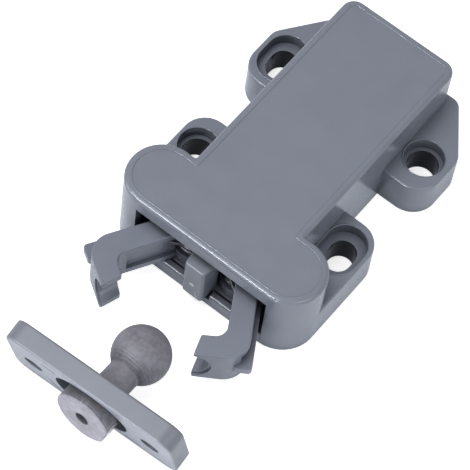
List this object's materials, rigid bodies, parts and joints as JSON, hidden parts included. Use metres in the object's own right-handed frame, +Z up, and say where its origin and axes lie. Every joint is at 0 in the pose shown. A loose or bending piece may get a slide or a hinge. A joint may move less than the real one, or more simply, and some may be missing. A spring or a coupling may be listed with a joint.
{
  "type": "cupboard catch latch",
  "caption": "Push-to-close cupboard catch with two claws on a sprung slider, and a loose ball stud in a keeper plate.",
  "frame": {"origin": "middle of the case's front edge, on its underside", "axes": "+X to the right claw, +Y from the claws to the rear of the case, +Z up from the underside"},
  "size_m": [0.0368, 0.0815, 0.0153],
  "materials": {
    "case_plastic": "satin top, glossy sides",
    "slider_plastic": "satin",
    "steel": "drawn wire",
    "keeper_plastic": "satin",
    "stud_plastic": "turned"
  },
  "bodies": {
    "case": {"housing": "case_plastic", "base_cover": "case_plastic", "keeper_plate": "keeper_plastic", "return_spring_right": "steel", "return_spring_left": "steel"},
    "slider": {"carriage": "slider_plastic", "pivot_pin_right": "steel", "pivot_pin_left": "steel", "claw_spring_right": "steel", "claw_spring_left": "steel"},
    "right_claw": {"claw_right": "slider_plastic"},
    "left_claw": {"claw_left": "slider_plastic"},
    "cam_wire": {"cam_follower": "steel"},
    "stud": {"ball_stud": "stud_plastic"}
  },
  "joints": [
    {"name": "slider_slide", "type": "slide", "parent": "case", "child": "slider", "axis": [0, 1, 0], "range_m": [0, 0.0055], "stiffness_N_per_m": 400, "springref_m": -0.012, "deforming": ["return_spring_right", "return_spring_left"]},
    {"name": "claw_right_hinge", "type": "hinge", "parent": "slider", "child": "right_claw", "pos_m": [0.0045, 0.0053, 0.00655], "axis": [0, 0, 1], "range_deg": [-18.1, 0], "stiffness_Nm_per_rad": 0.004, "springref_deg": 34.38, "deforming": ["claw_spring_right"]},
    {"name": "claw_left_hinge", "type": "hinge", "parent": "slider", "child": "left_claw", "pos_m": [-0.0045, 0.0053, 0.00655], "axis": [0, 0, 1], "range_deg": [0, 18.1], "stiffness_Nm_per_rad": 0.004, "springref_deg": -34.38, "deforming": ["claw_spring_left"]},
    {"name": "cam_wire_hinge", "type": "hinge", "parent": "case", "child": "cam_wire", "pos_m": [0, 0.042, 0.0123], "axis": [0, 0, 1], "range_deg": [0, 6.2]},
    {"name": "stud_tilt", "type": "hinge", "parent": "case", "child": "stud", "pos_m": [0.00216, -0.02686, 0.00725], "axis": [0.9993, 0.0384, 0], "range_deg": [0, 27.5]}
  ],
  "couplings": [
    {"joint": "claw_right_hinge", "follows": "slider_slide", "rad_per_m": -57.12},
    {"joint": "claw_left_hinge", "follows": "slider_slide", "rad_per_m": 57.12},
    {"joint": "cam_wire_hinge", "follows": "slider_slide", "rad_per_m": 19.35}
  ]
}
